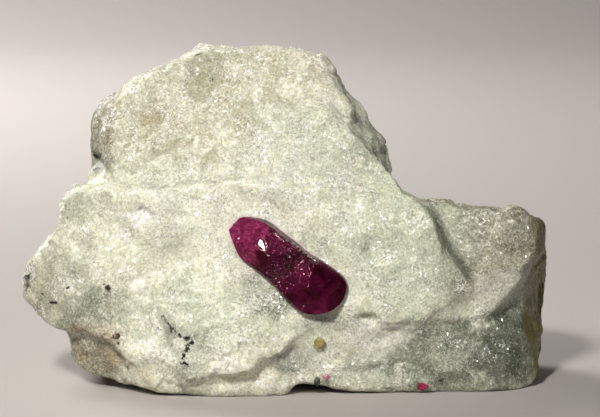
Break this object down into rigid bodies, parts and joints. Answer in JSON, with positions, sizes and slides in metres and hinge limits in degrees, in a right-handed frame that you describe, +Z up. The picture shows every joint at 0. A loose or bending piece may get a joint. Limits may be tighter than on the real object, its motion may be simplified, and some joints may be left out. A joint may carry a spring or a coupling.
{
  "type": "ruby crystal on marble",
  "caption": "Waisted red crystal standing half out of the sloping face of a broken block of pale marble, a display specimen that stands on its flat underside.",
  "frame": {"origin": "on the flat underside of the block, under the middle of its box in X and Y", "axes": "+X to the right along the block for a viewer who faces the ruby, +Y away from that viewer, +Z up"},
  "size_m": [0.0852, 0.0416, 0.0537],
  "materials": {
    "marble": "broken, sugary white to grey-green calcite marble with glinting cleavage faces",
    "ruby": "deep red translucent ruby with glossy and finely etched faces",
    "pink_ruby": "paler pink ruby, dull",
    "black_mineral": "black to dark brown grain with a dull sparkle",
    "mica": "yellow-green mica with a pearly gloss"
  },
  "bodies": {
    "root": {"marble_matrix": "marble", "ruby_crystal": "ruby", "ruby_grain_right": "ruby", "ruby_grain_middle": "pink_ruby", "black_grain_middle": "black_mineral", "black_grain_left": "black_mineral", "black_grain_low_left": "black_mineral", "black_patch_left_edge": "black_mineral", "mica_flake": "mica"}
  },
  "joints": []
}
